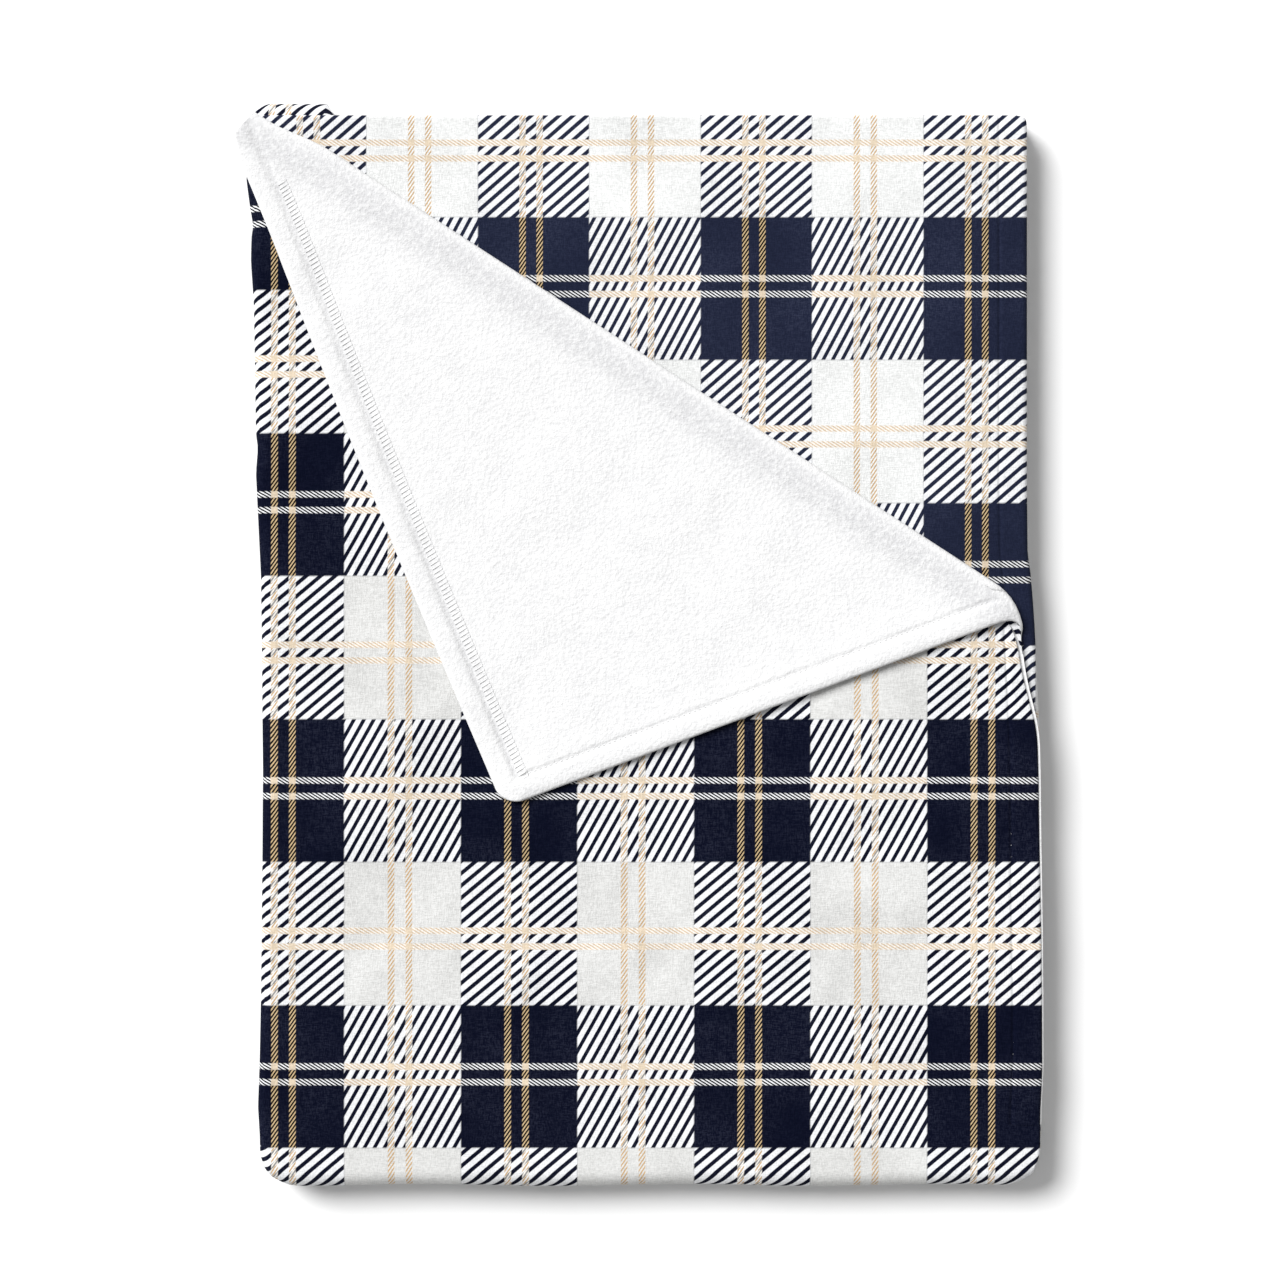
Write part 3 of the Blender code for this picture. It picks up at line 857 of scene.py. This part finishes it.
# rows run from the corner's free side to the strip under it; points sit closer at the hem and the roll
def flapGrid():
    f = flap
    corner, rearLeft = np.array(f["corner"]), np.array(f["rearLeft"])
    stripLeft, stripRight = np.array(f["stripLeft"]), np.array(f["stripRight"])
    side = np.linalg.norm(stripRight - corner)
    near = np.array([0, 0.00012, 0.0004, 0.0008, 0.0013, 0.0019])
    fine = np.arange(0.0026, 0.032, 0.0012)
    down = np.concatenate([near, fine, np.linspace(fine[-1] + 0.0026, side, 122)]) / side
    start = corner + (stripRight - corner) * down[:, None]
    knots = np.array([rearLeft, f["leftTurn"], f["leftLine"], stripLeft, stripRight])
    shares = [0, 0.022, 0.042, 0.062, 1]
    end = np.stack([np.interp(down, shares, knots[:, 0]), np.interp(down, shares, knots[:, 1])], -1)
    startFar = (start[:, 1] - creaseY(start[:, 0])) * across
    endFar = (end[:, 1] - creaseY(end[:, 0])) * across
    length = np.linalg.norm(start - end, axis=1)
    slant = (startFar - endFar) / np.maximum(length, 1e-6)
    hemPart = np.concatenate([near, np.arange(0.0026, 0.028, 0.0012)])
    closed = np.minimum(1, 0.4 * length / hemPart[-1])
    hemFar = startFar[:, None] - hemPart[None, :] * (slant * closed)[:, None]
    rollPart = np.array([0.004, 0.0032, 0.0024, 0.0018, 0.0013, 0.0008, 0.0003, -0.0002, -0.0007,
                         -0.0012, -0.0017, -0.0022, -0.0027, -0.0033, -0.006, -0.010, -0.015])
    lastHem = hemFar[:, -1]
    between = np.linspace(0, 1, 112)[1:-1]
    middleFar = lastHem[:, None] + (rollPart[0] - lastHem)[:, None] * between[None, :]
    far = np.concatenate([hemFar, middleFar, np.repeat(rollPart[None, :], len(down), 0)], 1)
    order = np.arange(far.shape[1])
    floorFar = endFar[:, None] + (order[-1] - order)[None, :] * 0.000004
    ceiling = startFar[:, None] - order[None, :] * 0.000004
    far = np.clip(far, floorFar, None)
    far = np.minimum.accumulate(np.minimum(far, np.maximum(ceiling, floorFar)), axis=1)
    share = (startFar[:, None] - far) / np.maximum(startFar - endFar, 1e-6)[:, None]
    flat = start[:, None, :] + (end - start)[:, None, :] * np.clip(share, 0, 1)[..., None]
    return flat


# the flat corner's distances from its two free sides: the rear hem and the right hem
def flapHems(flat):
    corner, rearLeft = np.array(flap["corner"]), np.array(flap["rearLeft"])
    stripRight = np.array(flap["stripRight"])

    def away(a, b):
        line = (b - a) / np.linalg.norm(b - a)
        gap = flat - a
        return np.abs(gap[..., 0] * line[1] - gap[..., 1] * line[0])

    return away(corner, rearLeft), away(corner, stripRight)


# folding: flat up to the line, round a half circle, then mirrored back over the layer beneath
def foldOver(flat):
    f = flap
    normal = np.array([-f["slope"], 1.0]) * across
    rear, side = flapHems(flat)
    a = np.clip(1 - rear / f["tip"], 0, 1)
    b = np.clip(1 - side / f["tip"], 0, 1)
    pullA = a * (1 - np.sqrt(1 - b * b / 2)) * f["tip"]
    pullB = b * (1 - np.sqrt(1 - a * a / 2)) * f["tip"]
    corner = np.array(f["corner"])
    alongRear = np.array(f["rearLeft"]) - corner
    alongRear = alongRear / np.linalg.norm(alongRear)
    alongSide = np.array(f["stripRight"]) - corner
    alongSide = alongSide / np.linalg.norm(alongSide)
    flat = flat + pullB[..., None] * alongRear + pullA[..., None] * alongSide
    far = (flat[..., 1] - creaseY(flat[..., 0])) * across
    foot = flat - far[..., None] * normal
    past = far + f["rollOut"]
    half = np.pi * f["roll"]
    theta = np.clip(past / f["roll"], 0, np.pi)
    onRoll = -f["rollOut"] + f["roll"] * np.sin(theta)
    over = -f["rollOut"] - (past - half)
    planFar = np.where(past <= 0, far, np.where(past < half, onRoll, over))
    plan = foot + planFar[..., None] * normal
    level = upperPlane + cloth["top"] + f["roll"] * (1 - np.cos(theta))
    beyond = np.clip(past - half, 0, None)
    puff = f["puff"] * np.exp(-(((beyond - 0.011) / 0.008) ** 2)) * smoothStep(0, 0.006, beyond)
    waves = swell(plan[..., 0] * 1.3, plan[..., 1] * 1.3)
    puff = puff + f["swell"] * waves * smoothStep(0.01, 0.06, beyond)
    lift = f["lift"][0] + f["lift"][1] * smoothStep(-0.05, 0.17, plan[..., 0])
    puff = puff + lift * np.exp(-((side / 0.022) ** 2)) * smoothStep(0.004, 0.03, beyond)
    reach = np.linalg.norm(np.array(f["rearLeft"]) - corner)
    share = np.clip(np.abs((flat - corner) @ alongRear) / reach, 0, 1)
    bow = f["bow"] * np.sin(np.pi * share) * np.exp(-rear / 0.08) * smoothStep(0, 0.05, beyond)
    outward = np.array([-0.911, -0.412])
    plan = plan + bow[..., None] * outward * np.array([1.0, 0.4])
    grid = roundOff(np.concatenate([plan, (level + puff)[..., None]], -1))
    hint = np.concatenate([-normal * np.sin(theta)[..., None], np.cos(theta)[..., None]], -1)
    return grid, hint, rear, side, beyond


flat = flapGrid()
flapMiddle, flapHint, rearHem, sideHem, flapBeyond = foldOver(flat)
hemSoon = np.minimum(rearHem, sideHem)
loose = smoothStep(0.0, 0.01, flapBeyond)
ladderGap = rearHem - flap["ladder"]
stitchGap = sideHem - flap["stitch"]
inRear = smoothStep(flap["stitch"] - 0.002, flap["stitch"] + 0.002, sideHem)
inSide = smoothStep(flap["ladder"] - 0.002, flap["ladder"] + 0.002, rearHem)
groove = 0.0009 * np.exp(-(((ladderGap + 0.0036) / 0.0014) ** 2)) * inRear
groove = groove + 0.0008 * np.exp(-((stitchGap / 0.0013) ** 2)) * inSide
bandRear = smoothStep(0.0, 0.005, rearHem) * smoothStep(0.0, 0.005, flap["ladder"] - 0.004 - rearHem)
bandSide = smoothStep(0.0, 0.005, sideHem) * smoothStep(0.0, 0.005, flap["stitch"] - sideHem)
flapExtra = (0.0007 * np.maximum(bandRear, bandSide) - groove) * loose
# painted shade on the corner's white side: a band along the line of folding, and along the valley beside
# the overlock ladder
flapPaintedShade = np.exp(-(((flapBeyond - 0.010) / 0.013) ** 2)) * smoothStep(0, 0.003, flapBeyond)
flapPaintedShade = np.maximum(flapPaintedShade, 0.8 * np.exp(-(((ladderGap + 0.0036) / 0.0022) ** 2)) * inRear * loose)
flapColumn = (flat[..., 0] - plaid["top"][0]) / plaid["top"][1]
flapRow = (plaid["top"][2] - flat[..., 1]) / plaid["top"][3]
flapCoords = np.stack([flapColumn, flapRow], -1)
evenTone = np.zeros(flat.shape[:2])
flapPair = makePair(
    "flap", flapMiddle, flapHint, hemSoon, flapCoords, evenTone, 0.0, flapExtra, paintedShade=flapPaintedShade
)
print("corner made")


# tubes round many short paths at once: rings of six points carried along each path
def makeTubes(name, paths, up, radius):
    count, steps = paths.shape[:2]
    tangent = np.gradient(paths, axis=1)
    tangent = tangent / np.linalg.norm(tangent, axis=-1, keepdims=True)
    side = np.cross(tangent, up)
    side = side / np.linalg.norm(side, axis=-1, keepdims=True)
    above = np.cross(side, tangent)
    turn = np.linspace(0, 2 * np.pi, 6, endpoint=False)
    ring = side[:, :, None, :] * np.cos(turn)[:, None] + above[:, :, None, :] * np.sin(turn)[:, None]
    taper = np.ones(steps)
    taper[[0, -1]] = 0.5
    points = paths[:, :, None, :] + ring * radius * taper[:, None, None]
    index = np.arange(count * steps * 6).reshape(count, steps, 6)
    following = np.roll(index, -1, 2)
    quads = [index[:, :-1], index[:, 1:], following[:, 1:], following[:, :-1]]
    quads = np.stack(quads, -1).reshape(-1, 4)
    caps = np.concatenate([index[:, 0], index[:, -1, ::-1]])
    mesh = bpy.data.meshes.new(name)
    mesh.from_pydata(points.reshape(-1, 3).tolist(), [], quads.tolist() + caps.tolist())
    mesh.polygons.foreach_set("use_smooth", np.ones(len(quads) + len(caps), bool))
    mesh.materials.append(sewing)
    made = bpy.data.objects.new(name, mesh)
    bpy.context.scene.collection.objects.link(made)
    return made


# a place on the folded corner's white side, from its distances to the rear and the right hem
def onFlap(rear, side, sink):
    corner = np.array(flap["corner"])
    alongRear = np.array(flap["rearLeft"]) - corner
    alongRear = alongRear / np.linalg.norm(alongRear)
    alongSide = np.array(flap["stripRight"]) - corner
    alongSide = alongSide / np.linalg.norm(alongSide)
    skew = abs(alongRear[0] * alongSide[1] - alongRear[1] * alongSide[0])
    spot = corner + (side / skew)[..., None] * alongRear + (rear / skew)[..., None] * alongSide
    grid = foldOver(spot)[0]
    grid[..., 2] += cloth["outer"] - sink
    return grid


ladder = {"pitch": 0.0029, "first": 0.013, "last": 0.425, "half": 0.0029, "radius": 0.00026}
along = np.arange(ladder["first"], ladder["last"], ladder["pitch"])
rung = np.linspace(-1, 1, 6)
rungRear = flap["ladder"] + ladder["half"] * rung[None, :] + 0 * along[:, None]
rungSide = along[:, None] + 0.0006 * rung[None, :]
rungs = onFlap(rungRear, rungSide, -0.00022 + 0.0003 * rung[None, :] ** 2)
rail = np.linspace(0, 1, 6)
railSide = along[:, None] + ladder["pitch"] * rail[None, :] * 0.96
railRear = flap["ladder"] + ladder["half"] + 0.0004 * np.sin(rail * np.pi)[None, :] + 0 * railSide
rails = onFlap(railRear, railSide, -0.0001 + 0 * railSide)
overlock = makeTubes("flapOverlock", np.concatenate([rungs, rails]), up, ladder["radius"])

stitch = {"pitch": 0.0036, "length": 0.0026, "radius": 0.00026}
along = np.arange(0.012, 0.335, stitch["pitch"])
dash = np.linspace(0, 1, 6)
dashRear = along[:, None] + stitch["length"] * dash[None, :]
dashSide = flap["stitch"] + 0 * dashRear
dashes = onFlap(dashRear, dashSide, 0.0006 + 0.0005 * (2 * dash[None, :] - 1) ** 2)
topstitch = makeTubes("flapTopstitch", dashes, up, stitch["radius"])


# a hem's row of stitches on a third's top layer, parallel to the hem
def hemStitches(name, firstY, lastY, z, sink):
    start = np.arange(firstY, lastY, stitch["pitch"])
    y = start[:, None] + stitch["length"] * dash[None, :]
    x = cloth["hemX"] - cloth["hemSetback"] + 0 * y
    arch = sink + np.sign(sink) * 0.0004 * (2 * dash[None, :] - 1) ** 2
    paths = settle(np.stack([x, y, z - arch + 0 * y], -1))
    if name.startswith("upper"):
        paths[..., 2] += topLift(paths[..., 0], paths[..., 1])
    return makeTubes(name, paths, up, stitch["radius"])


topZ = upperPlane + cloth["top"] + cloth["outer"]
upperStitch = hemStitches("upperHemTopstitch", frontY + 0.004, 0.004, topZ, 0.00105)
middleZ = upperPlane - cloth["top"] - cloth["outer"]
middleStitch = hemStitches("middleHemTopstitch", frontY + 0.004, -frontY - 0.006, middleZ, -0.0006)
lowerZ = lowerBase + cloth["top"] + cloth["outer"]
lowerStitch = hemStitches("lowerHemTopstitch", frontY - 0.030, -frontY - 0.006, lowerZ, 0.0006)
print("threads made")

for piece in (*topPair, *underPair, upperStitch):
    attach(piece, "upper_third")
for piece in (*middlePair, middleStitch):
    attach(piece, "middle_third")
for piece in (*lowerPair, lowerStitch):
    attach(piece, "lower_third")
for piece in (overlock, topstitch):
    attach(piece, "corner_flap")
shared = (
    (frontPair, "middle_third", "upper_third", upperPlane),
    (rearPair, "lower_third", "middle_third", lowerPlane),
    (flapPair, "upper_third", "corner_flap", flapPlane),
)
for pair, first, second, plane in shared:
    for piece in pair:
        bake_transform(piece)

sides = {"face": 0, "back": 1}
for side, index in sides.items():
    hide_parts(f"upper_top_{side}", f"upper_left_bend_{side}")
    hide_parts(f"upper_base_{side}", f"upper_tuck_{side}", f"upper_right_bend_{side}")
    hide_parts(f"flap_{side}")
    for third, pair in (("middle", middlePair), ("lower", lowerPair)):
        names = [f"{third}_{part}_{side}" for part in ("base", "tuck", "top", "left_bend", "right_bend")]
        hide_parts(*names)
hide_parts("upper_front_bend")
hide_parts("middle_front_bend")
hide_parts("middle_rear_bend")
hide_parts("lower_rear_bend")
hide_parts("flap_overlock")
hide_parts("flap_topstitch")
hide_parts("upper_hem_topstitch")
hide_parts("middle_hem_topstitch")
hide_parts("lower_hem_topstitch")

studio = {
    "floor": 0.80,
    "fill": 0.45,
    "key": 5.2,
    "keyFrom": (-0.560, 0.490, 0.668),
    "keyAngle": 0.60,
    "height": 2.0,
    "centre": (-0.0064, 0.0061),
    "shown": 0.8163,
    "level": 0.030,
    "sensor": 36,
    "floorHalf": 60,
    "floorGap": 0.0003,
}

floorMesh = bpy.data.meshes.new("floor")
half = studio["floorHalf"]
floorZ = cadLow.z - studio["floorGap"]
floorCorners = [(x, y, floorZ) for x, y in ((-half, -half), (half, -half), (half, half), (-half, half))]
floorMesh.from_pydata(floorCorners, [], [(0, 1, 2, 3)])
floor = bpy.data.objects.new("floor", floorMesh)
bpy.context.scene.collection.objects.link(floor)
floorTree = Tree("floor")
floorTree.shader.inputs["Base Color"].default_value = (studio["floor"],) * 3 + (1,)
floorTree.shader.inputs["Roughness"].default_value = 0.9
floorTree.shader.inputs["Specular IOR Level"].default_value = 0.1
floorMesh.materials.append(floorTree.material)

world = bpy.data.worlds.new("studio")
bpy.context.scene.world = world
world.use_nodes = True
world.node_tree.nodes["Background"].inputs["Color"].default_value = (1, 1, 1, 1)
world.node_tree.nodes["Background"].inputs["Strength"].default_value = studio["fill"]

key = bpy.data.lights.new("key", "SUN")
key.energy = studio["key"]
key.angle = studio["keyAngle"]
keyObject = bpy.data.objects.new("key", key)
bpy.context.scene.collection.objects.link(keyObject)
aim = Vector(studio["keyFrom"])
keyObject.rotation_mode = "QUATERNION"
keyObject.rotation_quaternion = aim.to_track_quat("Z", "Y")

camera = bpy.data.cameras.new("camera")
cameraObject = bpy.data.objects.new("camera", camera)
bpy.context.scene.collection.objects.link(cameraObject)
cameraObject.location = (*studio["centre"], studio["height"])
camera.sensor_width = studio["sensor"]
camera.lens = studio["sensor"] * (studio["height"] - studio["level"]) / studio["shown"]
bpy.context.scene.camera = cameraObject
bpy.context.scene.view_settings.view_transform = "Standard"
